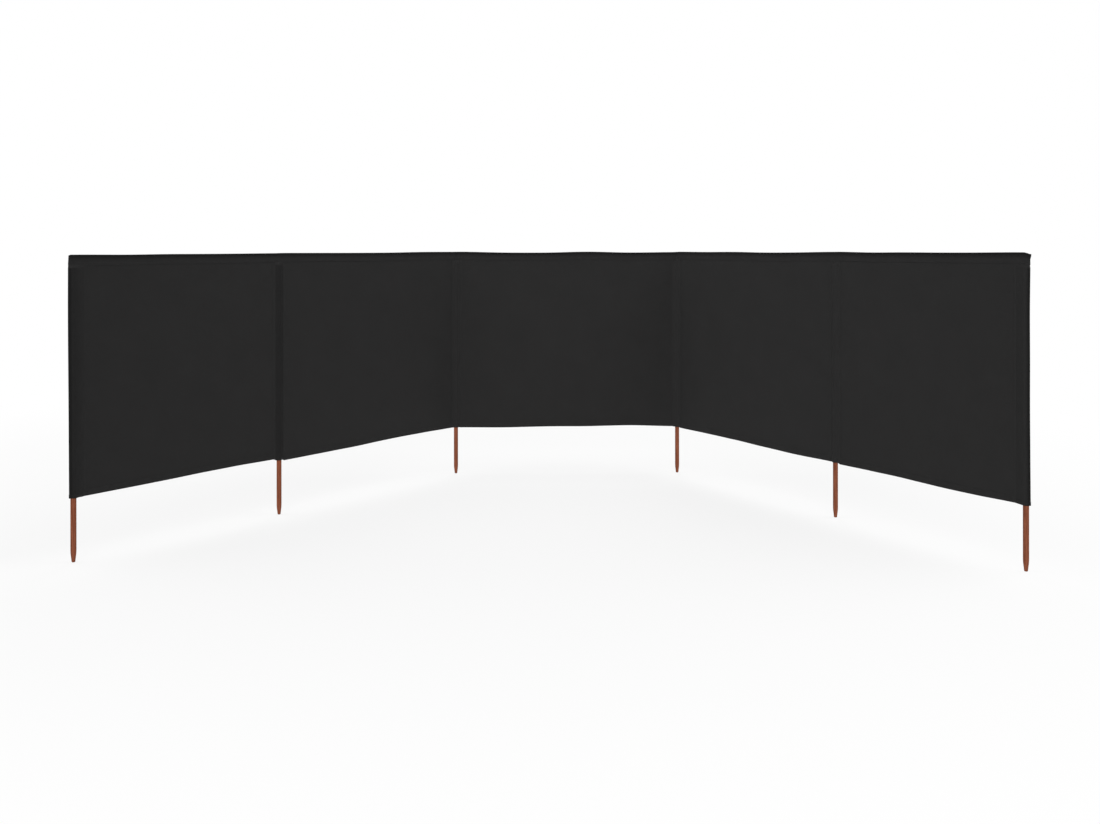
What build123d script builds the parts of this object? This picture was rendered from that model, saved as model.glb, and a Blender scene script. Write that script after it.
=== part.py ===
from build123d import *

import os
from math import acos, atan2, cos, hypot, radians, sin

# A beach windbreak: a dark cloth screen in five bays, carried on six pointed wooden poles.
# Every pole stands in a sewn pocket, two layers of cloth that meet in a flat seam beside the pole.
# The pocket closes above the pole, under a top hem that runs on over all the poles.
# The screen is set out in three straight runs: a middle bay, and a wing of two bays from each of its ends.
# Millimetres, +Z up. The origin is the flat end of pole 3, and +X runs along the middle bay to pole 4.

# Poles: round, with a blunt point to push into the ground
pole_diameter = 22.0
pole_tip_diameter = 13.0
pole_tip_taper = 38.0
pole_tip_round = 2.5
pole_top_bevel = 2.0

# Heights at the poles, from the tips up
bare_stake = 250.0
cloth_height = 950.0

# Cloth and hems: the edges are drawn in a little between the poles
cloth_thickness = 1.0
hem_layers = 3
top_hem = 40.0
bottom_hem = 25.0
top_sag = 4.0
bottom_rise = 7.0

# Pockets: the ease is from the pocket's round to its seam
pocket_clearance = 0.3
pocket_ease = 12.0
end_pocket_ease = 30.0
seam_width = 10.0
pocket_drop = 6.0
pocket_closure = 18.0

# Bays from pole to pole, and the angle of each wing to the middle bay
inner_bay = 1200.0
end_bay = 1000.0
left_wing_degrees = 51.7
right_wing_degrees = 60.7

# Every cut runs past its face by this much
overrun = 5.0

pole_radius = pole_diameter / 2
bore_radius = pole_radius + pocket_clearance
pocket_radius = bore_radius + cloth_thickness
hem_thickness = hem_layers * cloth_thickness
cloth_top = bare_stake + cloth_height
hem_foot = cloth_top - top_hem
pocket_shoulder = hem_foot - pocket_closure
pocket_foot = bare_stake - pocket_drop
pole_length = pocket_shoulder - pocket_clearance
inner_seam = pocket_radius + pocket_ease
end_seam = pocket_radius + end_pocket_ease

bay_lengths = [end_bay, inner_bay, inner_bay, inner_bay, end_bay]
bay_headings = [left_wing_degrees, left_wing_degrees, 0, -right_wing_degrees, -right_wing_degrees]
pole_seams = [end_seam, inner_seam, inner_seam, inner_seam, inner_seam, end_seam]


def heading_vector(degrees):
    """The unit vector on the ground at this heading from +X."""
    return Vector(cos(radians(degrees)), sin(radians(degrees)), 0)


def pole_places():
    """The six poles on the ground, with pole 3 at the origin."""
    places = [Vector(0, 0, 0)]
    for length, heading in zip(bay_lengths, bay_headings):
        places.append(places[-1] + heading_vector(heading) * length)
    return [place - places[2] for place in places]


def make_pole():
    """One pole, turned from its half outline: blunt tip, taper, straight shaft and bevelled top."""
    outline = make_face(
        Polyline(
            (0, 0),
            (pole_tip_diameter / 2, 0),
            (pole_radius, pole_tip_taper),
            (pole_radius, pole_length - pole_top_bevel),
            (pole_radius - pole_top_bevel, pole_length),
            (0, pole_length),
            close=True,
        )
    )
    tip_corner = outline.vertices().sort_by_distance((pole_tip_diameter / 2, 0))[0]
    return revolve(Plane.XZ * fillet(tip_corner, pole_tip_round), Axis.Z)


def teardrop(radius, seam, half_thickness, tail):
    """The plan of one side of a pocket: round the pole, in to the seam along +X, and flat for the tail."""
    touch = atan2(half_thickness, seam) + acos(radius / hypot(seam, half_thickness))
    touch_x = radius * cos(touch)
    touch_y = radius * sin(touch)
    round_part = ThreePointArc((touch_x, touch_y), (-radius, 0), (touch_x, -touch_y))
    if half_thickness:
        flat = Polyline(
            (touch_x, -touch_y),
            (seam, -half_thickness),
            (seam + tail, -half_thickness),
            (seam + tail, half_thickness),
            (seam, half_thickness),
            (touch_x, touch_y),
        )
    else:
        flat = Polyline((touch_x, -touch_y), (seam, 0), (touch_x, touch_y))
    return make_face(round_part.edges() + flat.edges())


def make_pocket(seam, headings):
    """A pocket round its pole, with a seam to each bay it carries and a roof that draws in to the hem."""
    reach = seam + seam_width
    roof = Pos(0, 0, pocket_shoulder) * Cone(
        pocket_radius,
        cloth_thickness,
        pocket_closure,
        align=(Align.CENTER, Align.CENTER, Align.MIN),
    )
    tent = extrude(
        Plane.YZ
        * make_face(
            Polyline(
                (-pocket_radius, pocket_shoulder),
                (pocket_radius, pocket_shoulder),
                (cloth_thickness, hem_foot),
                (-cloth_thickness, hem_foot),
                close=True,
            )
        ),
        reach,
    )
    outer = teardrop(pocket_radius, seam, cloth_thickness, seam_width)
    inner = teardrop(bore_radius, seam, 0, 0)
    wing = extrude(Pos(0, 0, pocket_shoulder) * outer, pocket_closure) & tent
    tube_height = pocket_shoulder - pocket_foot
    tube = extrude(Pos(0, 0, pocket_foot) * outer, tube_height)
    bore = extrude(Pos(0, 0, pocket_foot - overrun) * inner, tube_height + overrun)
    solid = roof
    for heading in headings:
        solid += Rot(0, 0, heading) * (tube + wing)
    for heading in headings:
        solid -= Rot(0, 0, heading) * bore
    return solid


def bay_plane(place, heading):
    """The upright plane of a bay: x along the cloth from its first pole, y up, facing the sheltered side."""
    return Plane(place, x_dir=heading_vector(heading), z_dir=heading_vector(heading - 90))


def drawn_edge(first_seam, last_seam, level, bow):
    """A cloth edge between two seams, level at both and drawn in by the bow halfway."""
    middle = (first_seam + last_seam) / 2
    return ThreePointArc((first_seam, level), (middle, level + bow), (last_seam, level))


def strip(first_seam, last_seam, lower, lower_bow, upper, upper_bow):
    """The face of a piece of cloth between two seams and two drawn edges."""
    edges = (
        drawn_edge(first_seam, last_seam, lower, lower_bow).edges()
        + drawn_edge(first_seam, last_seam, upper, upper_bow).edges()
        + Line((first_seam, lower), (first_seam, upper)).edges()
        + Line((last_seam, lower), (last_seam, upper)).edges()
    )
    return make_face(edges)


def main():
    os.makedirs("parts", exist_ok=True)
    places = pole_places()

    pole = make_pole()
    for number, place in enumerate(places, 1):
        export_step(Pos(place) * pole, f"parts/pole_{number}.step")

    for index, place in enumerate(places):
        headings = [heading + 180 for heading in bay_headings[max(index - 1, 0) : index]]
        headings += bay_headings[index : index + 1]
        pocket = make_pocket(pole_seams[index], headings)
        export_step(Pos(place) * pocket, f"parts/pole_pocket_{index + 1}.step")

    for index, (length, heading) in enumerate(zip(bay_lengths, bay_headings)):
        number = index + 1
        upright = bay_plane(places[index], heading)
        first = pole_seams[index] + seam_width
        last = length - pole_seams[index + 1] - seam_width

        field = strip(
            first, last, bare_stake + bottom_hem, bottom_rise, hem_foot, -top_sag
        )
        cloth = extrude(upright * field, cloth_thickness / 2, both=True)
        export_step(cloth, f"parts/cloth_bay_{number}.step")

        band = strip(
            first, last, bare_stake, bottom_rise, bare_stake + bottom_hem, bottom_rise
        )
        hem = extrude(upright * band, hem_thickness / 2, both=True)
        export_step(hem, f"parts/bottom_hem_{number}.step")

        # The top hem runs on flat over the pockets to the next bay's hem, or to the screen's own end
        before = overrun if index else pocket_radius
        after = overrun if number < len(bay_lengths) else pocket_radius
        band = strip(first, last, hem_foot, -top_sag, cloth_top, -top_sag)
        band += Pos((first - before) / 2, hem_foot + top_hem / 2) * Rectangle(
            first + before, top_hem
        )
        band += Pos((last + length + after) / 2, hem_foot + top_hem / 2) * Rectangle(
            length + after - last, top_hem
        )
        hem = extrude(upright * band, hem_thickness / 2, both=True)
        for neighbour, corner, side in (
            (index - 1, index, Keep.TOP),
            (index + 1, index + 1, Keep.BOTTOM),
        ):
            if 0 <= neighbour < len(bay_lengths):
                along = heading_vector(heading) + heading_vector(bay_headings[neighbour])
                mitre = Plane(places[corner], z_dir=along)
                hem = split(hem, bisect_by=mitre, keep=side)
        export_step(hem, f"parts/top_hem_{number}.step")


main()
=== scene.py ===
"""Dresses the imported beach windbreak: woven cloth, sewn pockets, folded hems, stitching and stained poles.

The frame gives every place and size. Lengths are in metres, and lists of millimetres say so.
"""

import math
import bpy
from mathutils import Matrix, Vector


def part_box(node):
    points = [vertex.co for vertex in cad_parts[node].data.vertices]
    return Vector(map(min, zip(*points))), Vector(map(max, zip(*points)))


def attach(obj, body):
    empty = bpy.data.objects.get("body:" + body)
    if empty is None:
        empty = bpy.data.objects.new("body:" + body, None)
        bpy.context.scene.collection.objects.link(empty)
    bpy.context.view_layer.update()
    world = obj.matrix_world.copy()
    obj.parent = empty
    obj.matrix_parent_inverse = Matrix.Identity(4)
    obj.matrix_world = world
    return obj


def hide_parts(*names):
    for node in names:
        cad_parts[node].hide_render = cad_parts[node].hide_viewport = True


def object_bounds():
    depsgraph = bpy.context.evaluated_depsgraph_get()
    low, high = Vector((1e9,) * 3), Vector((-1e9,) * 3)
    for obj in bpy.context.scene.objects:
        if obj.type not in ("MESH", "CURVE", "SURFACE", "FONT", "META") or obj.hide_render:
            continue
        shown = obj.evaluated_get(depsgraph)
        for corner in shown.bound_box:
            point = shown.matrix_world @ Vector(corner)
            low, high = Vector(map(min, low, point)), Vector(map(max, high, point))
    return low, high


bl_info = {
    "name": "Beach Windbreak",
    "version": (1, 0, 0),
    "blender": (4, 5, 0),
    "location": "3D View > Sidebar > Windbreak",
    "description": "Cloth, pockets, hems, stitching and poles of a beach windbreak, on its packed frame",
    "category": "Object",
}

from collections import namedtuple
from functools import partial

import bmesh
import bpy
import numpy as np
from bpy.props import FloatProperty, FloatVectorProperty, IntProperty, PointerProperty
from bpy.types import NodeSocket, Operator, Panel, PropertyGroup
from mathutils import Vector, noise

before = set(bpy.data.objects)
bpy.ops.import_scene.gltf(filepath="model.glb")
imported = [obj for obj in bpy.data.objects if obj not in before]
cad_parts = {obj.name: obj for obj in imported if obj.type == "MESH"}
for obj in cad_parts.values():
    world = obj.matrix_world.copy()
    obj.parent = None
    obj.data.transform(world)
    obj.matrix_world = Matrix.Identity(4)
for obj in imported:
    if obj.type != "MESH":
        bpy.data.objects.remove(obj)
CAD_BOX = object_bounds()

UP = Vector((0, 0, 1))
MM = 0.001
POLE_COUNT = 6
BAY_COUNT = 5

# The sheltered side of the screen, and the windward side
BOTH_SIDES = (1, -1)

# Heights and widths that the frame holds
POLE_LOW, POLE_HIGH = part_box("pole_1")
POLE_RADIUS = (POLE_HIGH.x - POLE_LOW.x) / 2
POLE_TOP = POLE_HIGH.z
POCKET_LOW, POCKET_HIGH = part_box("pole_pocket_2")
POCKET_FOOT = POCKET_LOW.z
HEM_FOOT = POCKET_HIGH.z
SCREEN_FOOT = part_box("bottom_hem_3")[0].z
SCREEN_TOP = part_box("top_hem_3")[1].z
SCREEN_HEIGHT = SCREEN_TOP - SCREEN_FOOT
TOP_HEM_DEPTH = SCREEN_TOP - HEM_FOOT
BOTTOM_HEM_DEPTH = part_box("cloth_bay_3")[0].z - SCREEN_FOOT

# Poles: the bevel of the top, the cuts along the shaft, and what counts as a sharp edge
POLE_TOP_BEVEL = 2 * MM
SHAFT_CUTS = 30
ROUND_SEGMENTS = 4
SHARP_ANGLE = math.radians(35)

# Layers of cloth: how far the middle of each layer lies from the middle of the screen
FLANGE_LIFT = 0.65 * MM
BOTTOM_HEM_LIFT = 0.8 * MM
TOP_HEM_LIFT = 1.3 * MM

# What is tucked out of sight: bay cloth in the seams and in the hems, and the pocket under the top hem
SEAM_TUCK = 7 * MM
HEM_TUCK = 4 * MM
POCKET_TUCK = 6 * MM

# How far each bay's edges hang off the level, in millimetres, at even steps from pocket to pocket
FOOT_HANG = (
    (-1, 1, 2.5, 6, 7.5, 6),
    (-6.5, -5, -3.5, 1.5, 2.5, 1),
    (-1.5, -2.5, 2, 3, 7, 1.5),
    (-4, -2, -2, -5, -6.5, -2),
    (-6, -3.5, -3, -7, -6, -1),
)
TOP_HANG = (
    (-6, -7, -5.5, -5.5, -5, -4),
    (-3, -3.5, -4, -3.5, -1, -1),
    (-0.5, -5, -5.5, -1, -5.5, -3.5),
    (-1.5, -2.5, -1.5, -4, -3, 0),
    (0.5, -2, -1, -1.5, -1, 0.5),
)

# Waves of the open cloth as shares of its slack, and the upright ones in radians to the metre
BROAD_WAVES = 0.9
SLANTED_WAVES = 0.4
UPRIGHT_WAVES = 0.16
UPRIGHT_RATE = 31

# Puckers beside a pocket seam: how far they reach and start, where they stop by the hems, and their rate
PUCKER_REACH = 30 * MM
PUCKER_START = 10 * MM
PUCKER_FOOT = 36 * MM
PUCKER_RISE = 90 * MM
PUCKER_FALL = 60 * MM
PUCKER_RATE = 165

# Pockets: ease on the pole, the flare, hang and turned edge of the mouth, and the creases beside the pole
POCKET_EASE = 1.1 * MM
POCKET_UNEVEN = 0.5 * MM
MOUTH_FLARE = 1.4 * MM
MOUTH_FLARE_HEIGHT = 30 * MM
MOUTH_SQUARE = 16 * MM
MOUTH_BLEND = 14 * MM
MOUTH_UNEVEN = 1.2 * MM
MOUTH_HANG_HEIGHT = 60 * MM
POCKET_HEM = 14 * MM
POCKET_HEM_ROLL = 0.2 * MM
POCKET_CREASE = 0.9 * MM
CREASE_END = 10 * MM

# How far each end pole's loop stands off the wood on its outer side, in millimetres, from its mouth up
LOOP_EASE = {1: (5.5, 6.5, 7.5, 9, 10, 9.5), 6: (7.5, 6, 4.5, 5, 4.5, 7)}

# Where the flange of a loop ends and its round begins, as shares of the way to the loop's far side
LOOP_PARTS = (0.13, 0.64)

# The top hem past the first pole and the last, in millimetres: its reach beyond the wood at its fold
# and at its foot, how far its corner droops, and over what length
HemEnd = namedtuple("HemEnd", "fold_reach foot_reach droop droop_length")
HEM_ENDS = (HemEnd(8.5, 9.5, 3, 14), HemEnd(13, 8, 7, 44))
HEM_REACH_DEPTH = 24 * MM

# Hems: how far a leaf puffs out, and how flat and over what length the ends of the top hem are sewn shut
HEM_PUFF = 0.7 * MM
SHUT_SHARE = 0.3
SHUT_LENGTH = 22 * MM

# Painted shade on three of the pockets: along the outer edge of each end pole's loop, where it turns away
# from the light, and over the middle of pole 2's pocket, where the pole lies inside. Its tone as a share, at
# distances in millimetres from the middle
POCKET_PAINTED_SHADE = {
    1: ((0, 0.42), (11, 0.46), (16, 0.71), (27, 0.79), (40, 0.87), (58, 0.95), (80, 1)),
    2: ((0, 0.72), (20, 0.74), (23, 1)),
    6: ((0, 0.45), (7, 0.47), (10, 0.68), (14, 0.85), (18, 0.96), (22, 1)),
}

# The painted shade of a pocket ends softly at its pole's top, from so far below it to so far above
SHADE_END_BELOW = 4 * MM
SHADE_END_ABOVE = 6 * MM

# Painted shade along the fold of the top hem: how far it reaches, and how it fades, in millimetres and
# shares
FOLD_REACH = 7
FOLD_FADE = ((13, 0.58), (19, 0.8), (27, 1))

# Rows of stitches: how far each one lies from the edge that it holds, and how far thread stands off cloth
SEAM_ROWS = (2.5 * MM, 7.5 * MM)
SEAM_ROW_GAP = 1 * MM
MOUTH_ROW = 3 * MM
BOTTOM_HEM_ROW = 3 * MM
TOP_HEM_ROWS = (3 * MM, 9 * MM)
THREAD_SEAT = 0.1 * MM

# Faces along and across the cloth
BAY_COLUMNS = 96
BAY_ROWS = 110
CORNER_COLUMNS = 16
LOOP_COLUMNS = 64
POCKET_COLUMNS = 36
MOUTH_ROWS = 8
SLEEVE_ROWS = 76
ROOF_ROWS = 12
TURNED_UP_ROWS = 4
FOLD_ROWS = 6
MEASURING_STEPS = 80

# The stage: a wide floor, a full-frame camera, and lamps by place, size across and watts
FLOOR_RADIUS = 40
SENSOR_WIDTH = 36
LAMPS = {
    "front_light": ((-3, -60, 13), 20, 22000),
    "left_light": ((-4.6, -1, 7), 5, 296),
    "right_light": ((5.7, -0.9, 7), 5, 360),
    "back_light": ((0.6, 8, 4), 4, 430),
}


class WindbreakCloth(PropertyGroup):
    """The cloth of the screen: its colours, its weave and how slackly it hangs."""

    screen_colour: FloatVectorProperty(
        name="Screen colour",
        description="Colour of the open cloth between the pockets",
        default=(0.0226, 0.0223, 0.0223),
        subtype="COLOR",
        min=0,
        max=1,
    )
    pocket_colour: FloatVectorProperty(
        name="Pocket colour",
        description="Colour of the sewn pockets round the poles",
        default=(0.0222, 0.0219, 0.0219),
        subtype="COLOR",
        min=0,
        max=1,
    )
    hem_colour: FloatVectorProperty(
        name="Hem colour",
        description="Colour of the folded top and bottom hems",
        default=(0.0222, 0.0219, 0.0219),
        subtype="COLOR",
        min=0,
        max=1,
    )
    # The painted shade along the fold of the top hem
    fold_shade: FloatProperty(
        name="Fold shade",
        description="Tone along the fold of the top hem, as a share of the hem colour",
        default=0.38,
        subtype="FACTOR",
        min=0,
        max=1,
    )
    thickness: FloatProperty(
        name="Thickness",
        description="Thickness of one layer of cloth",
        default=0.5 * MM,
        unit="LENGTH",
        subtype="DISTANCE",
    )
    weave_pitch: FloatProperty(
        name="Weave pitch",
        description="Distance from one thread of the weave to the next",
        default=0.8 * MM,
        unit="LENGTH",
        subtype="DISTANCE",
    )
    slack: FloatProperty(
        name="Slack",
        description="How far the open cloth swells off its plane",
        default=5 * MM,
        unit="LENGTH",
        subtype="DISTANCE",
    )
    pucker: FloatProperty(
        name="Seam pucker",
        description="How far the cloth is drawn in and out along a pocket seam",
        default=0.7 * MM,
        unit="LENGTH",
        subtype="DISTANCE",
    )
    flange: FloatProperty(
        name="Pocket seam width",
        description="Width of the flat seam where a pocket's two layers hold the bay cloth",
        default=10 * MM,
        unit="LENGTH",
        subtype="DISTANCE",
    )


class WindbreakPoles(PropertyGroup):
    """The poles: their stain and their point."""

    stain: FloatVectorProperty(
        name="Stain",
        description="Colour of the stained wood between the grain lines",
        default=(0.266, 0.086, 0.0447),
        subtype="COLOR",
        min=0,
        max=1,
    )
    grain: FloatVectorProperty(
        name="Grain",
        description="Colour of the grain lines under the stain",
        default=(0.144, 0.0435, 0.0224),
        subtype="COLOR",
        min=0,
        max=1,
    )
    tip_radius: FloatProperty(
        name="Tip radius",
        description="Radius of the blunt end of the point",
        default=6.5 * MM,
        unit="LENGTH",
        subtype="DISTANCE",
    )
    tip_length: FloatProperty(
        name="Point length",
        description="Length of the point from the blunt end to the straight shaft",
        default=38 * MM,
        unit="LENGTH",
        subtype="DISTANCE",
    )
    tip_round: FloatProperty(
        name="Tip round",
        description="Rounding of the edge of the blunt end",
        default=3 * MM,
        unit="LENGTH",
        subtype="DISTANCE",
    )
    shoulder_round: FloatProperty(
        name="Shoulder round",
        description="How far the rounding between the point and the straight shaft reaches each way",
        default=9 * MM,
        unit="LENGTH",
        subtype="DISTANCE",
    )
    sides: IntProperty(
        name="Sides",
        description="Number of faces round a pole",
        default=40,
        min=12,
    )


class WindbreakStitching(PropertyGroup):
    """The lockstitch that closes the pockets and the hems."""

    colour: FloatVectorProperty(
        name="Thread colour",
        description="Colour of the sewing thread",
        default=(0.029, 0.0285, 0.0285),
        subtype="COLOR",
        min=0,
        max=1,
    )
    pitch: FloatProperty(
        name="Stitch pitch",
        description="Distance from one stitch to the next",
        default=5 * MM,
        unit="LENGTH",
        subtype="DISTANCE",
    )
    length: FloatProperty(
        name="Stitch length",
        description="Length of the thread that shows in one stitch",
        default=4 * MM,
        unit="LENGTH",
        subtype="DISTANCE",
    )
    width: FloatProperty(
        name="Thread width",
        description="Thickness of the sewing thread",
        default=0.7 * MM,
        unit="LENGTH",
        subtype="DISTANCE",
    )


class WindbreakStage(PropertyGroup):
    """The floor, the light and the camera."""

    camera_place: FloatVectorProperty(
        name="Camera place",
        description="Where the camera stands",
        default=(0.4321, -6.1794, 1.2159),
        subtype="TRANSLATION",
        unit="LENGTH",
    )
    camera_turn: FloatVectorProperty(
        name="Camera turn",
        description="How the camera is turned: level, a little to the right, with a trace of roll",
        default=(math.radians(90), math.radians(0.05), math.radians(-0.861)),
        subtype="EULER",
        unit="ROTATION",
    )
    lens: FloatProperty(
        name="Lens",
        description="Focal length on a sensor 36 mm wide, in millimetres",
        default=37.29,
        min=1,
    )
    shift: FloatVectorProperty(
        name="Lens shift",
        description="Sideways and upward shift of the level lens, in widths of the picture",
        default=(-0.00245, -0.1485),
        size=2,
    )
    ambient: FloatProperty(
        name="Ambient light",
        description="Strength of the even light from all round",
        default=0.21,
        min=0,
    )


def cloth():
    """The settings of the cloth."""
    return bpy.context.scene.windbreak_cloth


def stitching():
    """The settings of the stitching."""
    return bpy.context.scene.windbreak_stitching


def clamp(value, low, high):
    return max(low, min(high, value))


def smooth(value):
    """A soft step from 0 to 1."""
    value = clamp(value, 0, 1)
    return value * value * (3 - 2 * value)


def even(start, end, steps):
    """Evenly spaced stations from start to end."""
    return [start + (end - start) * step / steps for step in range(steps + 1)]


def chain(*runs):
    """Runs of stations end to end, each starting where the last one stops."""
    stations = list(runs[0])
    for run in runs[1:]:
        stations += run[1:]
    return stations


def path_length(points):
    return sum((b - a).length for a, b in zip(points, points[1:]))


def curve_through(heights, share):
    """A smooth curve through evenly spaced heights, read at a share of its length."""
    spans = len(heights) - 1
    place = clamp(share, 0, 1) * spans
    index = min(int(place), spans - 1)
    t = place - index
    before = heights[max(index - 1, 0)]
    low = heights[index]
    high = heights[index + 1]
    after = heights[min(index + 2, spans)]
    slope = (high - before) / 2
    next_slope = (after - low) / 2
    return (
        low * (2 * t**3 - 3 * t**2 + 1)
        + slope * (t**3 - 2 * t**2 + t)
        + high * (3 * t**2 - 2 * t**3)
        + next_slope * (t**3 - t**2)
    )


def pole_place(number):
    low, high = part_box(f"pole_{number}")
    return Vector(((low.x + high.x) / 2, (low.y + high.y) / 2, 0))


POLE_PLACES = [pole_place(number) for number in range(1, POLE_COUNT + 1)]


class Bay:
    """One bay: where it starts, which way it runs, and the open cloth between its two pockets."""

    def __init__(self, number):
        self.number = number
        self.start = POLE_PLACES[number - 1]
        run = POLE_PLACES[number] - self.start
        self.length = run.length
        self.along = run.normalized()
        self.facing = self.along.cross(UP)
        self.heading = math.atan2(self.along.y, self.along.x)
        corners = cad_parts[f"cloth_bay_{number}"].data.vertices
        reaches = [(corner.co - self.start).dot(self.along) for corner in corners]
        self.first = min(reaches)
        self.last = max(reaches)

    def share(self, x):
        return (x - self.first) / (self.last - self.first)

    def foot(self, x):
        return SCREEN_FOOT + curve_through(FOOT_HANG[self.number - 1], self.share(x)) * MM

    def top(self, x):
        return SCREEN_TOP + curve_through(TOP_HANG[self.number - 1], self.share(x)) * MM

    def swell(self, x, z):
        """How far the cloth stands off the plane of its bay, towards the sheltered side.

        Noise is read at waves to the metre, and a seed sets each bay apart.
        """
        share = self.share(x)
        if not 0 < share < 1:
            return 0
        seed = 11.7 * self.number
        held = math.sin(math.pi * share) ** 0.7
        rise = clamp((z - SCREEN_FOOT) / SCREEN_HEIGHT, 0, 1)
        broad = noise.noise((2.3 * x + seed, 1.6 * z, seed))
        slanted = noise.noise((5.1 * x + 1.7 * z + seed, 1.1 * z - 0.6 * x, seed + 3.1))
        bent = noise.noise((2.2 * x, 1.4 * z, seed + 5.3))
        upright = math.sin(UPRIGHT_RATE * x + 2.5 * bent) * (1 - rise) ** 1.5
        waves = BROAD_WAVES * broad + SLANTED_WAVES * slanted + UPRIGHT_WAVES * upright
        near = min(x - self.first, self.last - x)
        drawn = math.exp(-near / PUCKER_REACH) * smooth(near / PUCKER_START)
        drawn *= smooth((z - SCREEN_FOOT - PUCKER_FOOT) / PUCKER_RISE)
        drawn *= smooth((HEM_FOOT - z) / PUCKER_FALL)
        tucks = math.sin(PUCKER_RATE * z + 2.2 * noise.noise((9 * z, 4 * x, seed + 7.9)))
        return held * waves * cloth().slack + drawn * tucks * cloth().pucker

    def point(self, x, z, lift=0.0):
        """A point of the bay: x along it from its first pole, z up, lifted to the sheltered side."""
        return self.start + self.along * x + self.facing * (self.swell(x, z) + lift) + UP * z

    def cloth_point(self, x, v):
        """A point of the open cloth: x along the bay, and v up the cloth as it was cut."""
        foot = self.foot(x)
        return self.point(x, foot + (self.top(x) - foot) * v / SCREEN_HEIGHT)


BAYS = [Bay(number) for number in range(1, BAY_COUNT + 1)]


class Stand:
    """A pole's place in the screen, and the turn that the cloth makes round it."""

    def __init__(self, number):
        self.number = number
        self.place = POLE_PLACES[number - 1]
        self.before = BAYS[max(number - 2, 0)]
        self.after = BAYS[min(number - 1, BAY_COUNT - 1)]
        self.heading = (self.before.heading + self.after.heading) / 2
        self.half_turn = (self.after.heading - self.before.heading) / 2
        # A loop at an end pole opens to its one bay, which lies ahead of the first pole and behind the last
        self.is_end = self.before is self.after
        self.bay_side = -1 if number == POLE_COUNT else 1
        self.reach = self.after.first if self.bay_side > 0 else self.before.length - self.before.last

    @property
    def seam(self):
        return self.reach - cloth().flange

    def point(self, x, z, lift=0.0):
        """A point by the pole: x along the screen from the pole's middle, bending from bay to bay."""
        swing = math.sin(clamp(x / self.seam, -1, 1) * math.pi / 2)
        heading = self.heading + self.half_turn * swing
        along = Vector((math.cos(heading), math.sin(heading), 0))
        return self.place + along * x + along.cross(UP) * lift + UP * z

    def top(self, x):
        """The top edge, which passes from the last of one bay to the first of the next."""
        if self.is_end:
            return self.after.top(x) if self.bay_side > 0 else self.before.top(x + self.before.length)
        before = self.before.top(self.before.length)
        after = self.after.top(0)
        return before + (after - before) * smooth((x + self.reach) / (2 * self.reach))

    def foot(self, x):
        """The mouth of the pocket: square to the pole, and level with the hems at its seams."""
        hem = self.after.foot(0) if x > 0 else self.before.foot(self.before.length)
        if self.is_end:
            hem = self.after.foot(0 if self.bay_side > 0 else self.after.length)
        by_pole = 1 - smooth((abs(x) - MOUTH_SQUARE) / MOUTH_BLEND)
        return hem + (SCREEN_FOOT - hem) * by_pole


STANDS = [Stand(number) for number in range(1, POLE_COUNT + 1)]


# Hems: the top one runs on over all the poles, and its length is counted from the first pole


def fold(depth, lift, distance):
    """The section of a folded band, from one free edge to the other: depth inside the fold, and lift."""
    bend = math.pi * lift
    if distance < depth:
        return depth - distance, lift
    if distance < depth + bend:
        turn = (distance - depth) / lift
        return -lift * math.sin(turn), lift * math.cos(turn)
    return distance - depth - bend, -lift


def fold_stations(depth, lift):
    """Stations from one free edge of a folded band to the other."""
    bend = math.pi * lift
    return chain(
        even(0, depth, FOLD_ROWS),
        even(depth, depth + bend, FOLD_ROWS),
        even(depth + bend, 2 * depth + bend, FOLD_ROWS),
    )


def hem_puff(run, depth, whole_depth, seed):
    """How far a hem's leaf puffs out between its fold and its stitching."""
    share = clamp(depth / whole_depth, 0, 1)
    vary = 0.6 + 0.6 * noise.noise((14 * run, seed, 40 * depth))
    return HEM_PUFF * math.sin(math.pi * share) * vary


def hem_reach(end, depth):
    """How far the top hem runs on past an end pole's middle, at a depth below its fold."""
    widening = (end.foot_reach - end.fold_reach) * smooth(depth / HEM_REACH_DEPTH)
    return POLE_RADIUS + (end.fold_reach + widening) * MM


FIRST_END, LAST_END = HEM_ENDS
BAY_STARTS = [sum(bay.length for bay in BAYS[:index]) for index in range(BAY_COUNT)]
SCREEN_LENGTH = sum(bay.length for bay in BAYS)
HEM_START = -hem_reach(FIRST_END, TOP_HEM_DEPTH)
HEM_STOP = SCREEN_LENGTH + hem_reach(LAST_END, 0)


def top_hem_point(run, depth, lift):
    """A point of the top hem, at a depth below its fold. Its ends are sewn shut and droop a little."""
    index = max(i for i in range(BAY_COUNT) if BAY_STARTS[i] <= max(run, 0))
    bay = BAYS[index]
    x = run - BAY_STARTS[index]
    lift += math.copysign(hem_puff(run, depth, TOP_HEM_DEPTH, 3.3), lift)
    from_ends = (run - HEM_START, HEM_STOP - run)
    droop = 0
    for from_end, end in zip(from_ends, HEM_ENDS):
        droop += end.droop * MM * (1 - smooth(from_end / (end.droop_length * MM))) ** 2
    over_pocket = smooth((depth - TOP_HEM_DEPTH / 2) / (TOP_HEM_DEPTH / 4))
    opened = SHUT_SHARE + (1 - SHUT_SHARE) * smooth(min(from_ends) / SHUT_LENGTH)
    lift *= max(opened, over_pocket)
    below = TOP_HEM_LIFT + depth + droop
    if run < 0:
        x *= hem_reach(FIRST_END, depth) / -HEM_START
    elif run > SCREEN_LENGTH:
        x = bay.length + (x - bay.length) * hem_reach(LAST_END, depth) / (HEM_STOP - SCREEN_LENGTH)
    if x < bay.first:
        return STANDS[index].point(x, STANDS[index].top(x) - below, lift)
    if x > bay.last:
        x -= bay.length
        return STANDS[index + 1].point(x, STANDS[index + 1].top(x) - below, lift)
    return bay.point(x, bay.top(x) - below, lift)


def bottom_hem_point(bay, x, depth, lift):
    """A point of a bottom hem, at a depth above its fold."""
    lift += math.copysign(hem_puff(x, depth, BOTTOM_HEM_DEPTH, bay.number), lift)
    return bay.point(x, bay.foot(x) + BOTTOM_HEM_LIFT + depth, lift)


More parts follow.
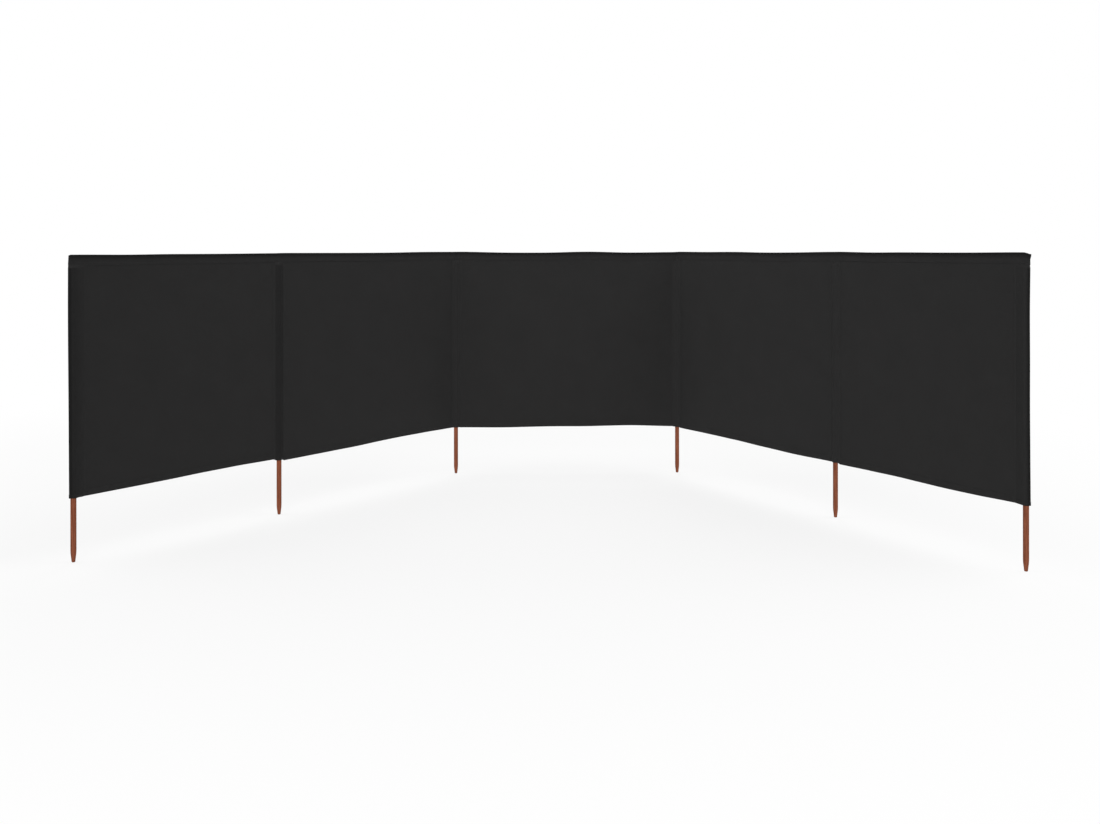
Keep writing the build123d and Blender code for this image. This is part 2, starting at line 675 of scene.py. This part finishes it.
# Pockets: round the pole, in to the seam on the tangent, and flat for the flange


def pocket_closing(z):
    """How far a pocket has drawn in above its pole, from 0 to 1."""
    return smooth((z - POLE_TOP) / (HEM_FOOT - POLE_TOP))


def pocket_round(stand, z):
    """The radius of a pocket's cloth: easy on the pole, open at the mouth, drawn in above the pole."""
    uneven = POCKET_UNEVEN * noise.noise((6 * z, 3.7 * stand.number, 0.5))
    mouth = clamp(1 - (z - POCKET_FOOT) / MOUTH_FLARE_HEIGHT, 0, 1)
    easy = POLE_RADIUS + POCKET_EASE + uneven + MOUTH_FLARE * mouth**2
    return easy + (FLANGE_LIFT - easy) * pocket_closing(z)


def touch_point(radius, seam, gap):
    """Where the tangent from the seam meets the round."""
    turn = math.atan2(gap, seam) + math.acos(min(radius / math.hypot(seam, gap), 1))
    return radius * math.cos(turn), radius * math.sin(turn), turn


def pocket_lift(stand, x, z, layer):
    """How far a pocket's layer stands off the middle of the screen, beside an inner pole."""
    gap = FLANGE_LIFT + layer
    seam = stand.seam
    if abs(x) >= seam:
        return gap
    radius = pocket_round(stand, z) + layer
    touch_x, touch_y, _ = touch_point(radius, seam, gap)
    if abs(x) <= touch_x:
        return math.sqrt(radius**2 - x**2)
    share = (abs(x) - touch_x) / (seam - touch_x)
    slack = noise.noise((60 * x, 11 * z, 2.9 * stand.number))
    crease = POCKET_CREASE * max(slack, 0) * math.sin(math.pi * share)
    return touch_y + (gap - touch_y) * share + crease * (1 - smooth((z - POLE_TOP) / CREASE_END))


def pocket_hang(stand, x, z, side):
    """The pocket's cloth meets the hems beside it, and hangs a little unevenly at its mouth."""
    near = 1 - smooth((z - POCKET_FOOT) / MOUTH_HANG_HEIGHT)
    uneven = MOUTH_UNEVEN * noise.noise((55 * x, side, 1.9 * stand.number))
    return z + near * (stand.foot(x) - POCKET_FOOT + uneven)


def inner_pocket_point(stand, side, x, z, layer=0.0):
    """A point of one layer over an inner pole, x along the screen from the pole's middle."""
    return stand.point(x, pocket_hang(stand, x, z, side), side * pocket_lift(stand, x, z, layer))


def loop_point(stand, share, z, layer=0.0):
    """A point of the loop round an end pole, at a share of the way from one flange edge to the other."""
    gap = FLANGE_LIFT + layer
    radius = pocket_round(stand, z) + layer
    touch_x, touch_y, turn = touch_point(radius, stand.seam, gap)
    side = 1 if share <= 0.5 else -1
    way = 1 - abs(2 * share - 1)
    flange_end, flank_end = LOOP_PARTS
    if way <= flange_end:
        x = stand.reach - cloth().flange * way / flange_end
        y = gap
    elif way <= flank_end:
        part = (way - flange_end) / (flank_end - flange_end)
        x = stand.seam + (touch_x - stand.seam) * part
        y = gap + (touch_y - gap) * part
        slack = max(noise.noise((7 * share, 10 * z, side)), 0) * (1 - pocket_closing(z))
        y += POCKET_CREASE * math.sin(math.pi * part) * slack
    else:
        angle = turn + (math.pi - turn) * (way - flank_end) / (1 - flank_end)
        x = radius * math.cos(angle)
        y = radius * math.sin(angle)
        if x < 0:
            rise = (z - POCKET_FOOT) / (HEM_FOOT - POCKET_FOOT)
            outer = POLE_RADIUS + curve_through(LOOP_EASE[stand.number], rise) * MM + layer
            x *= outer / radius
    return stand.point(stand.bay_side * x, pocket_hang(stand, x, z, side), side * y)


def loop_width(stand):
    """The flat width of the strip that loops round an end pole."""
    z = (POCKET_FOOT + POLE_TOP) / 2
    return path_length([loop_point(stand, share, z) for share in even(0, 1, MEASURING_STEPS)])


def layer_width(stand, side):
    """The flat width of one layer over an inner pole."""
    z = (POCKET_FOOT + POLE_TOP) / 2
    stations = even(-stand.reach, stand.reach, MEASURING_STEPS)
    return path_length([inner_pocket_point(stand, side, x, z) for x in stations])


def pocket_width(stand):
    """The flat width of all the cloth in a pocket."""
    if stand.is_end:
        return loop_width(stand)
    return sum(layer_width(stand, side) for side in BOTH_SIDES)


def pocket_layers(stand):
    """Each layer of a pocket: its stations across, and where a point of it lies."""
    if stand.is_end:
        width = loop_width(stand)

        def loop(u, z, layer=0.0):
            return loop_point(stand, u / width, z, layer)

        return [(even(0, width, LOOP_COLUMNS), loop)]
    across = even(-stand.reach, stand.reach, POCKET_COLUMNS)
    return [(across, partial(inner_pocket_point, stand, side)) for side in BOTH_SIDES]


# Materials

# The colour sockets of a Mix node
MIX_FIRST = 6
MIX_SECOND = 7
MIX_RESULT = 2


def set_inputs(tree, node, inputs):
    """Each input of a node gets a fixed value, or is joined to the output that it reads."""
    for name, value in inputs.items():
        if isinstance(value, NodeSocket):
            tree.links.new(value, node.inputs[name])
        else:
            node.inputs[name].default_value = value


def add_node(tree, kind, inputs=None, **fields):
    """A new shader node, with its own fields and its inputs."""
    node = tree.nodes.new(kind)
    for field, value in fields.items():
        setattr(node, field, value)
    set_inputs(tree, node, inputs or {})
    return node


def new_material(name):
    """A new material, its node tree and its shader."""
    material = bpy.data.materials.new(name)
    material.use_nodes = True
    return material, material.node_tree, material.node_tree.nodes["Principled BSDF"]


def texture(tree, kind, vector, inputs, **fields):
    return add_node(tree, f"ShaderNodeTex{kind}", {"Vector": vector, **inputs}, **fields).outputs["Fac"]


def stretched(tree, vector, scale):
    return add_node(tree, "ShaderNodeMapping", {"Vector": vector, "Scale": scale}).outputs["Vector"]


def calculated(tree, operation, *terms):
    return add_node(tree, "ShaderNodeMath", dict(enumerate(terms)), operation=operation).outputs["Value"]


def ranged(tree, value, inputs, **fields):
    return add_node(tree, "ShaderNodeMapRange", {"Value": value, **inputs}, **fields).outputs["Result"]


def mixed(tree, factor, first, second):
    """Two colours mixed by a factor."""
    inputs = {"Factor": factor, MIX_FIRST: first, MIX_SECOND: second}
    return add_node(tree, "ShaderNodeMix", inputs, data_type="RGBA").outputs[MIX_RESULT]


def relief(tree, height, strength, distance, **under):
    """Raised detail from a height, on top of the Normal under it."""
    inputs = {"Height": height, "Strength": strength, "Distance": distance, **under}
    return add_node(tree, "ShaderNodeBump", inputs).outputs["Normal"]


def shade(colour, share):
    """A colour made lighter or darker by a share, as the four numbers that a socket takes."""
    return (colour[0] * share, colour[1] * share, colour[2] * share, 1)


def painted_shade_band(tree, flat, axis, middle, stops, limit=None):
    """The tone across a stretch of painted shade on the cloth, read on a flat axis from its middle out to
    both sides.

    The stops are distances and shares of the colour. A limit is the height where the painted shade ends.
    """
    axes = add_node(tree, "ShaderNodeSeparateXYZ", {"Vector": flat}).outputs
    apart = calculated(tree, "ABSOLUTE", calculated(tree, "SUBTRACT", axes[axis], middle))
    width = stops[-1][0]
    ramp = add_node(tree, "ShaderNodeValToRGB", {"Fac": calculated(tree, "DIVIDE", apart, width)})
    elements = ramp.color_ramp.elements
    while len(elements) < len(stops):
        elements.new(1)
    for element, (distance, tone) in zip(elements, stops):
        element.position = distance / width
        element.color = (tone, tone, tone, 1)
    if limit is None:
        return ramp.outputs["Color"]
    ends = {"From Min": limit - SHADE_END_BELOW, "From Max": limit + SHADE_END_ABOVE}
    above = ranged(tree, axes["Y"], ends, interpolation_type="SMOOTHSTEP")
    return mixed(tree, above, ramp.outputs["Color"], (1, 1, 1, 1))


def woven_cloth(name, colour, band=None):
    """Plain-woven, dull anthracite cloth: crossing threads, uneven yarn, soft creases from the roll.

    A band is a stretch of painted shade on it, given by the arguments that the band's function takes after
    the flat map.
    """
    material, tree, shader = new_material(name)
    pitch = cloth().weave_pitch
    flat = add_node(tree, "ShaderNodeUVMap", uv_map="flat").outputs["UV"]

    # A wave's period is pi / 10 at scale 1
    thread = {"Scale": math.pi / 10 / pitch}
    warp = texture(tree, "Wave", flat, thread, bands_direction="X")
    weft = texture(tree, "Wave", flat, thread, bands_direction="Y")
    over = texture(tree, "Checker", flat, {"Scale": 1 / pitch})
    crossing = {"Factor": over, "A": warp, "B": weft}
    threads = add_node(tree, "ShaderNodeMix", crossing, data_type="FLOAT").outputs["Result"]

    # Slubs are thicker stretches of yarn, along both sets of threads
    slubs = [
        texture(tree, "Noise", stretched(tree, flat, stretch), {"Scale": 1, "Detail": 1})
        for stretch in ((30, 1100, 1), (900, 24, 1))
    ]
    yarn = calculated(tree, "ADD", *slubs)

    # Mottling of the dye, and the soft creases left by the roll
    mottle = texture(tree, "Noise", flat, {"Scale": 7, "Detail": 4, "Roughness": 0.6})
    roll = stretched(tree, flat, (26, 1.6, 1))
    creases = texture(tree, "Noise", roll, {"Scale": 1, "Detail": 3})

    # The colour follows the yarn and the dye, with painted shade down between the threads
    tone = calculated(tree, "ADD", yarn, mottle)
    level = ranged(tree, tone, {"From Min": 0.95, "From Max": 2.05})
    dye = mixed(tree, level, shade(colour, 0.92), shade(colour, 1.16))
    depth = ranged(tree, threads, {"To Min": 0.5, "To Max": 1.34})
    toned = add_node(tree, "ShaderNodeVectorMath", {0: dye, "Scale": depth}, operation="SCALE")
    # Painted shade: the band darkens the colour
    if band:
        both = {0: toned.outputs["Vector"], 1: painted_shade_band(tree, flat, *band)}
        toned = add_node(tree, "ShaderNodeVectorMath", both, operation="MULTIPLY")

    soft = relief(tree, creases, 0.35, 2.5 * MM)
    uneven = relief(tree, yarn, 0.35, 0.1 * MM, Normal=soft)
    weave = relief(tree, threads, 1, 0.25 * MM, Normal=uneven)
    finish = {
        "Base Color": toned.outputs["Vector"],
        "Roughness": ranged(tree, threads, {"To Min": 0.95, "To Max": 0.8}),
        "Specular IOR Level": 0.08,
        "Sheen Weight": 0.012,
        "Sheen Roughness": 0.5,
        "Normal": weave,
    }
    set_inputs(tree, shader, finish)
    return material


def sewing_thread(name, colour):
    """Twisted thread, a little glossier than the cloth."""
    material, tree, shader = new_material(name)
    place = add_node(tree, "ShaderNodeTexCoord").outputs["Object"]
    wear = texture(tree, "Noise", place, {"Scale": 160, "Detail": 1})
    finish = {
        "Base Color": mixed(tree, wear, shade(colour, 0.75), shade(colour, 1.25)),
        "Roughness": 0.55,
        "Specular IOR Level": 0.2,
    }
    set_inputs(tree, shader, finish)
    return material


def stained_wood(name, stain, grain):
    """Red-brown stain on turned softwood: grain lines along the pole, fine fibre and open pores."""
    material, tree, shader = new_material(name)
    place = add_node(tree, "ShaderNodeTexCoord").outputs["Object"]
    drawn = stretched(tree, place, (1, 1, 0.045))
    growth = {"Scale": 75, "Distortion": 5, "Detail": 2, "Detail Scale": 1.3}
    rings = texture(tree, "Wave", drawn, growth, bands_direction="DIAGONAL")
    fibre = texture(tree, "Noise", drawn, {"Scale": 1100, "Detail": 2})
    blotch = texture(tree, "Noise", place, {"Scale": 16, "Detail": 3})

    lines = calculated(tree, "MULTIPLY_ADD", rings, 0.45, fibre)
    figure = calculated(tree, "MULTIPLY_ADD", blotch, 0.5, lines)
    level = ranged(tree, figure, {"From Min": 0.55, "From Max": 1.35})
    finish = {
        "Base Color": mixed(tree, level, shade(grain, 1), shade(stain, 1)),
        "Roughness": ranged(tree, level, {"To Min": 0.78, "To Max": 0.6}),
        "Specular IOR Level": 0.05,
        "Normal": relief(tree, lines, 0.35, 0.1 * MM),
    }
    set_inputs(tree, shader, finish)
    return material


def background_rays(tree):
    """1 for the rays that see the background: from the camera, in reflections and through clear things."""
    path = add_node(tree, "ShaderNodeLightPath").outputs
    seen = calculated(tree, "MAXIMUM", path["Is Camera Ray"], path["Is Glossy Ray"])
    return calculated(tree, "MAXIMUM", seen, path["Is Transmission Ray"])


def pale_floor(name):
    """A matt white floor that fades into the white background and keeps a soft shadow."""
    material, tree, matt = new_material(name)
    paint = {"Base Color": (0.7, 0.7, 0.7, 1), "Roughness": 0.9, "Specular IOR Level": 0}
    set_inputs(tree, matt, paint)
    white = add_node(tree, "ShaderNodeEmission", {"Strength": 1}).outputs["Emission"]
    place = add_node(tree, "ShaderNodeTexCoord").outputs["Object"]
    away = add_node(tree, "ShaderNodeVectorMath", {0: place}, operation="LENGTH").outputs["Value"]
    distance = {"From Min": 1.5, "From Max": 4.5, "To Min": 0.82, "To Max": 1}
    fade = ranged(tree, away, distance, interpolation_type="SMOOTHSTEP")
    share = calculated(tree, "MULTIPLY", background_rays(tree), fade)
    both = add_node(tree, "ShaderNodeMixShader", {"Fac": share, 1: matt.outputs["BSDF"], 2: white})
    set_inputs(tree, tree.nodes["Material Output"], {"Surface": both.outputs["Shader"]})
    return material


# Making pieces


def add_object(mesh, material):
    """An object at the origin, named like its mesh, in one material."""
    mesh.materials.append(material)
    made = bpy.data.objects.new(mesh.name, mesh)
    bpy.context.scene.collection.objects.link(made)
    return made


def make_object(bm, name, material):
    """An object from a finished bmesh."""
    mesh = bpy.data.meshes.new(name)
    bm.to_mesh(mesh)
    bm.free()
    return add_object(mesh, material)


def join_part(piece, slot, *nodes):
    """The piece rides on the frame and stands for its nodes, which are hidden. The slot is not used."""
    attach(piece, "root")
    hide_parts(*nodes)
    return piece


def lay_strip(bm, across, up, place):
    """A strip of cloth in the bmesh: flat stations across and up, each put in its place, and kept as UV."""
    columns = len(across) - 1
    rows = len(up) - 1
    grid = bmesh.ops.create_grid(bm, x_segments=columns, y_segments=rows, size=1)
    flat = bm.loops.layers.uv.get("flat") or bm.loops.layers.uv.new("flat")
    for vert in grid["verts"]:
        u = across[round((vert.co.x + 1) / 2 * columns)]
        v = up[round((vert.co.y + 1) / 2 * rows)]
        vert.co = place(u, v)
        for loop in vert.link_loops:
            loop[flat].uv = (u, v)


def make_cloth(bm, name, material, slot, *nodes):
    """A piece of cloth from its laid strips, given its thickness with crisp cut edges."""
    for face in bm.faces:
        face.smooth = True
    for edge in bm.edges:
        edge.smooth = not edge.is_boundary
    piece = make_object(bm, name, material)
    solid = piece.modifiers.new("Cloth thickness", "SOLIDIFY")
    solid.thickness = cloth().thickness
    solid.offset = 0
    return join_part(piece, slot, *nodes)


def ring_edges(bm, place, radius, height):
    """The edges of a turned pole that run round it at one height."""
    near = 0.1 * MM

    def on_ring(vert):
        away = vert.co - place
        return abs(away.z - height) < near and abs(away.xy.length - radius) < near

    return [edge for edge in bm.edges if all(on_ring(vert) for vert in edge.verts)]


class WINDBREAK_OT_poles(Operator):
    """Add the six stained poles, each turned with a blunt point"""

    bl_idname = "windbreak.poles"
    bl_label = "Add Poles"

    def execute(self, context):
        poles = context.scene.windbreak_poles
        wood = stained_wood("stained_wood", poles.stain, poles.grain)
        outline = (
            (0, 0),
            (poles.tip_radius, 0),
            (POLE_RADIUS, poles.tip_length),
            (POLE_RADIUS, POLE_TOP - POLE_TOP_BEVEL),
            (POLE_RADIUS - POLE_TOP_BEVEL, POLE_TOP),
            (0, POLE_TOP),
        )
        for number, place in enumerate(POLE_PLACES, 1):
            bm = bmesh.new()
            corners = [bm.verts.new(place + Vector((r, 0, z))) for r, z in outline]
            _, _, shaft, _, _ = [bm.edges.new(pair) for pair in zip(corners, corners[1:])]
            bmesh.ops.subdivide_edges(bm, edges=[shaft], cuts=SHAFT_CUTS)
            bmesh.ops.spin(
                bm,
                geom=bm.verts[:] + bm.edges[:],
                cent=place,
                axis=UP,
                angle=math.tau,
                steps=poles.sides,
                use_merge=True,
            )
            bmesh.ops.remove_doubles(bm, verts=bm.verts[:], dist=0.01 * MM)
            bmesh.ops.recalc_face_normals(bm, faces=bm.faces[:])
            for radius, height, offset in (
                (poles.tip_radius, 0, poles.tip_round),
                (POLE_RADIUS, poles.tip_length, poles.shoulder_round),
            ):
                bmesh.ops.bevel(
                    bm,
                    geom=ring_edges(bm, place, radius, height),
                    offset=offset,
                    affect="EDGES",
                    segments=ROUND_SEGMENTS,
                    profile=0.5,
                    material=-1,
                )
            for face in bm.faces:
                face.smooth = True
            pole = make_object(bm, f"stained_pole_{number}", wood)
            pole.data.set_sharp_from_angle(angle=SHARP_ANGLE)
            join_part(pole, "stained_wood", f"pole_{number}")
        return {"FINISHED"}


class WINDBREAK_OT_bay_cloths(Operator):
    """Add the open cloth of the five bays"""

    bl_idname = "windbreak.bay_cloths"
    bl_label = "Add Bay Cloths"

    def execute(self, context):
        woven = woven_cloth("screen_cloth", cloth().screen_colour)
        up = even(HEM_TUCK, SCREEN_HEIGHT - HEM_TUCK, BAY_ROWS)
        for bay in BAYS:
            across = chain(
                [bay.first - SEAM_TUCK, bay.first],
                even(bay.first, bay.last, BAY_COLUMNS),
                [bay.last, bay.last + SEAM_TUCK],
            )
            bm = bmesh.new()
            lay_strip(bm, across, up, bay.cloth_point)
            piece = make_cloth(
                bm, f"screen_cloth_{bay.number}", woven, "screen_cloth", f"cloth_bay_{bay.number}"
            )
        return {"FINISHED"}


class WINDBREAK_OT_pockets(Operator):
    """Add the sewn pockets: a loop round each end pole, two layers round each inner pole"""

    bl_idname = "windbreak.pockets"
    bl_label = "Add Pole Pockets"

    def painted_shade_cloth(self, stand):
        """Cloth with painted shade over the middle of the pocket, up to the top of its pole."""
        middle = loop_width(stand) / 2 if stand.is_end else 0
        stops = [(away * MM, tone) for away, tone in POCKET_PAINTED_SHADE[stand.number]]
        band = ("X", middle, stops, POLE_TOP)
        return woven_cloth(f"pocket_cloth_{stand.number}", cloth().pocket_colour, band)

    def execute(self, context):
        mouth_top = POCKET_FOOT + 40 * MM
        shoulder = POLE_TOP - 8 * MM
        up = chain(
            even(POCKET_FOOT, mouth_top, MOUTH_ROWS),
            even(mouth_top, shoulder, SLEEVE_ROWS),
            even(shoulder, HEM_FOOT, ROOF_ROWS),
            [HEM_FOOT, HEM_FOOT + POCKET_TUCK],
        )
        turned_up = even(POCKET_FOOT - POCKET_HEM_ROLL, POCKET_FOOT + POCKET_HEM, TURNED_UP_ROWS)
        plain = woven_cloth("pocket_cloth", cloth().pocket_colour)
        for stand in STANDS:
            woven = self.painted_shade_cloth(stand) if stand.number in POCKET_PAINTED_SHADE else plain
            bm = bmesh.new()
            for across, place in pocket_layers(stand):
                lay_strip(bm, across, up, place)
                lay_strip(bm, across, turned_up, partial(place, layer=cloth().thickness))
            piece = make_cloth(
                bm,
                f"sewn_pocket_{stand.number}",
                woven,
                "pocket_cloth",
                f"pole_pocket_{stand.number}",
            )
            pocket_width(stand)
        return {"FINISHED"}


class WINDBREAK_OT_top_hem(Operator):
    """Add the folded top hem, one band over all the bays and poles"""

    bl_idname = "windbreak.top_hem"
    bl_label = "Add Top Hem"

    def execute(self, context):
        up = fold_stations(TOP_HEM_DEPTH, TOP_HEM_LIFT)
        # Painted shade along the top hem's fold: dark this far, then fading
        dark = cloth().fold_shade
        stops = [(away * MM, tone) for away, tone in ((0, dark), (FOLD_REACH, dark), *FOLD_FADE)]
        woven = woven_cloth("top_hem_cloth", cloth().hem_colour, ("Y", up[-1] / 2, stops))
        runs = []
        for bay, start in zip(BAYS, BAY_STARTS):
            from_here = HEM_START if bay is BAYS[0] else start
            to_here = HEM_STOP if bay is BAYS[-1] else start + bay.length
            runs += [
                even(from_here, start + bay.first, CORNER_COLUMNS),
                even(start + bay.first, start + bay.last, BAY_COLUMNS),
                even(start + bay.last, to_here, CORNER_COLUMNS),
            ]

        def place(run, distance):
            return top_hem_point(run, *fold(TOP_HEM_DEPTH, TOP_HEM_LIFT, distance))

        bm = bmesh.new()
        lay_strip(bm, chain(*runs), up, place)
        nodes = [f"top_hem_{bay.number}" for bay in BAYS]
        piece = make_cloth(bm, "folded_top_hem", woven, "hem_cloth", *nodes)
        return {"FINISHED"}


class WINDBREAK_OT_bottom_hems(Operator):
    """Add the folded bottom hem of each bay"""

    bl_idname = "windbreak.bottom_hems"
    bl_label = "Add Bottom Hems"

    def add_hem(self, bay, woven):
        up = fold_stations(BOTTOM_HEM_DEPTH, BOTTOM_HEM_LIFT)

        def place(x, distance):
            return bottom_hem_point(bay, x, *fold(BOTTOM_HEM_DEPTH, BOTTOM_HEM_LIFT, distance))

        bm = bmesh.new()
        lay_strip(bm, even(bay.first, bay.last, BAY_COLUMNS), up, place)
        piece = make_cloth(
            bm, f"folded_bottom_hem_{bay.number}", woven, "hem_cloth", f"bottom_hem_{bay.number}"
        )

    def execute(self, context):
        woven = woven_cloth("bottom_hem_cloth", cloth().hem_colour)
        for bay in BAYS:
            self.add_hem(bay, woven)
        return {"FINISHED"}


def stitch_row(path, length, outward):
    """The stitches of one row: each one's middle, its run and the way it faces.

    The path gives a point at a distance, and outward the way a stitch faces from the way it runs.
    """
    reach = stitching().length / 2
    stitches = []
    for index in range(int(length / stitching().pitch)):
        middle = (index + 0.5) * stitching().pitch
        start = path(middle - reach)
        end = path(middle + reach)
        run = (end - start).normalized()
        stitches.append(((start + end) / 2, run, outward(run)))
    return stitches


def facing(side):
    """Which way a stitch on a level row faces, on one side of the screen."""
    return lambda run: run.cross(UP) * side


def sew(name, stitches, thread):
    """One joined mesh of stitches, each a slim lozenge of thread."""
    bm = bmesh.new()
    bmesh.ops.create_uvsphere(bm, u_segments=6, v_segments=3, radius=0.5)
    bm.verts.index_update()
    shape = np.array([vert.co for vert in bm.verts])
    faces = [[vert.index for vert in face.verts] for face in bm.faces]
    bm.free()

    shape *= (stitching().width, stitching().width, stitching().length)
    middles, runs, outwards = (np.array(column) for column in zip(*stitches))
    axes = np.stack([outwards, np.cross(runs, outwards), runs], axis=1)
    points = (middles[:, None, :] + shape @ axes).reshape(-1, 3)
    joined = [
        [corner + index * len(shape) for corner in face]
        for index in range(len(stitches))
        for face in faces
    ]
    mesh = bpy.data.meshes.new(name)
    mesh.from_pydata(points.tolist(), [], joined)
    mesh.shade_smooth()
    return join_part(add_object(mesh, thread), "hem_cloth")


class WINDBREAK_OT_stitching(Operator):
    """Add the rows of stitches on the pocket seams, the pocket mouths and the hems, on both faces"""

    bl_idname = "windbreak.stitching"
    bl_label = "Add Stitching"

    @property
    def seat(self):
        """How far a stitch's middle lies from the middle of the cloth under it."""
        return cloth().thickness / 2 + THREAD_SEAT

    def seam_row(self, stand, way, inset, side):
        """A row up one face of a pocket's seam, on the way to one of its bays."""
        bay = stand.after if way > 0 else stand.before
        low = POCKET_FOOT + POCKET_HEM + SEAM_ROW_GAP
        x = way * (stand.seam + inset)
        lift = side * (FLANGE_LIFT + self.seat)
        return stitch_row(
            lambda distance: stand.point(x, low + distance, lift),
            HEM_FOOT - low,
            lambda run: bay.facing * side,
        )

    def mouth_rows(self, stand):
        """The row that holds the turned edge of a pocket's mouth, round the whole mouth."""
        z = POCKET_FOOT + POCKET_HEM - MOUTH_ROW
        layer = 2 * cloth().thickness + self.seat
        if stand.is_end:
            width = loop_width(stand)
            return stitch_row(
                lambda distance: loop_point(stand, distance / width, z, layer),
                width,
                facing(-stand.bay_side),
            )
        stitches = []
        for side in BOTH_SIDES:
            stitches += stitch_row(
                lambda distance: inner_pocket_point(stand, side, distance - stand.reach, z, layer),
                2 * stand.reach,
                facing(side),
            )
        return stitches

    def bottom_hem_row(self, bay, side):
        depth = BOTTOM_HEM_DEPTH - BOTTOM_HEM_ROW
        lift = side * (BOTTOM_HEM_LIFT + self.seat)
        return stitch_row(
            lambda distance: bottom_hem_point(bay, bay.first + distance, depth, lift),
            bay.last - bay.first,
            facing(side),
        )

    def top_hem_row(self, bay, start, side, inset):
        depth = TOP_HEM_DEPTH - inset
        lift = side * (TOP_HEM_LIFT + self.seat)
        return stitch_row(
            lambda distance: top_hem_point(start + distance, depth, lift),
            bay.length,
            facing(side),
        )

    def execute(self, context):
        thread = sewing_thread("sewing_thread", stitching().colour)
        for stand in STANDS:
            stitches = []
            for way in (stand.bay_side,) if stand.is_end else (1, -1):
                for inset in SEAM_ROWS:
                    for side in BOTH_SIDES:
                        stitches += self.seam_row(stand, way, inset, side)
            stitches += self.mouth_rows(stand)
            sew(f"pocket_stitching_{stand.number}", stitches, thread)

        for bay in BAYS:
            stitches = []
            for side in BOTH_SIDES:
                stitches += self.bottom_hem_row(bay, side)
            sew(f"bottom_hem_stitching_{bay.number}", stitches, thread)

        stitches = []
        for bay, start in zip(BAYS, BAY_STARTS):
            for side in BOTH_SIDES:
                for inset in TOP_HEM_ROWS:
                    stitches += self.top_hem_row(bay, start, side, inset)
        sew("top_hem_stitching", stitches, thread)
        return {"FINISHED"}


class WINDBREAK_OT_stage(Operator):
    """Add the pale floor, the soft light and the camera"""

    bl_idname = "windbreak.stage"
    bl_label = "Set Stage"

    def execute(self, context):
        scene = context.scene
        settings = scene.windbreak_stage
        scene.view_settings.view_transform = "Standard"

        bm = bmesh.new()
        bmesh.ops.create_circle(bm, cap_ends=True, segments=96, radius=FLOOR_RADIUS)
        make_object(bm, "floor", pale_floor("floor_paint"))

        scene.world = bpy.data.worlds.new("studio")
        scene.world.use_nodes = True
        tree = scene.world.node_tree
        even_light = tree.nodes["Background"]
        set_inputs(tree, even_light, {"Color": (1, 1, 1, 1), "Strength": settings.ambient})
        white = add_node(tree, "ShaderNodeBackground", {"Color": (1, 1, 1, 1)})
        lights = {1: even_light.outputs["Background"], 2: white.outputs["Background"]}
        both = add_node(tree, "ShaderNodeMixShader", {"Fac": background_rays(tree), **lights})
        set_inputs(tree, tree.nodes["World Output"], {"Surface": both.outputs["Shader"]})

        middle = (CAD_BOX[0] + CAD_BOX[1]) / 2
        for name, (place, size, watts) in LAMPS.items():
            lamp = bpy.data.lights.new(name, "AREA")
            lamp.size = size
            lamp.energy = watts
            light = bpy.data.objects.new(name, lamp)
            light.location = place
            light.rotation_euler = (middle - Vector(place)).to_track_quat("-Z", "Y").to_euler()
            scene.collection.objects.link(light)

        lens = bpy.data.cameras.new("camera")
        lens.sensor_fit = "HORIZONTAL"
        lens.sensor_width = SENSOR_WIDTH
        lens.lens = settings.lens
        lens.shift_x, lens.shift_y = settings.shift
        camera = bpy.data.objects.new("camera", lens)
        camera.location = settings.camera_place
        camera.rotation_euler = settings.camera_turn
        scene.collection.objects.link(camera)
        scene.camera = camera
        return {"FINISHED"}


OPERATORS = (
    WINDBREAK_OT_poles,
    WINDBREAK_OT_bay_cloths,
    WINDBREAK_OT_pockets,
    WINDBREAK_OT_top_hem,
    WINDBREAK_OT_bottom_hems,
    WINDBREAK_OT_stitching,
    WINDBREAK_OT_stage,
)
SETTINGS = {
    "windbreak_cloth": WindbreakCloth,
    "windbreak_poles": WindbreakPoles,
    "windbreak_stitching": WindbreakStitching,
    "windbreak_stage": WindbreakStage,
}


class WINDBREAK_PT_panel(Panel):
    """The windbreak's pieces and settings"""

    bl_label = "Beach Windbreak"
    bl_idname = "WINDBREAK_PT_panel"
    bl_space_type = "VIEW_3D"
    bl_region_type = "UI"
    bl_category = "Windbreak"

    def draw(self, context):
        for operator in OPERATORS:
            self.layout.operator(operator.bl_idname)
        for field in SETTINGS:
            settings = getattr(context.scene, field)
            box = self.layout.box()
            for name in settings.__annotations__:
                box.prop(settings, name)


CLASSES = (*SETTINGS.values(), *OPERATORS, WINDBREAK_PT_panel)


def register():
    for item in CLASSES:
        bpy.utils.register_class(item)
    for field, group in SETTINGS.items():
        setattr(bpy.types.Scene, field, PointerProperty(type=group))


def unregister():
    for field in SETTINGS:
        delattr(bpy.types.Scene, field)
    for item in reversed(CLASSES):
        bpy.utils.unregister_class(item)


def main():
    register()
    bpy.ops.windbreak.poles()
    bpy.ops.windbreak.bay_cloths()
    bpy.ops.windbreak.pockets()
    bpy.ops.windbreak.top_hem()
    bpy.ops.windbreak.bottom_hems()
    bpy.ops.windbreak.stitching()
    bpy.ops.windbreak.stage()


if __name__ == "__main__":
    main()
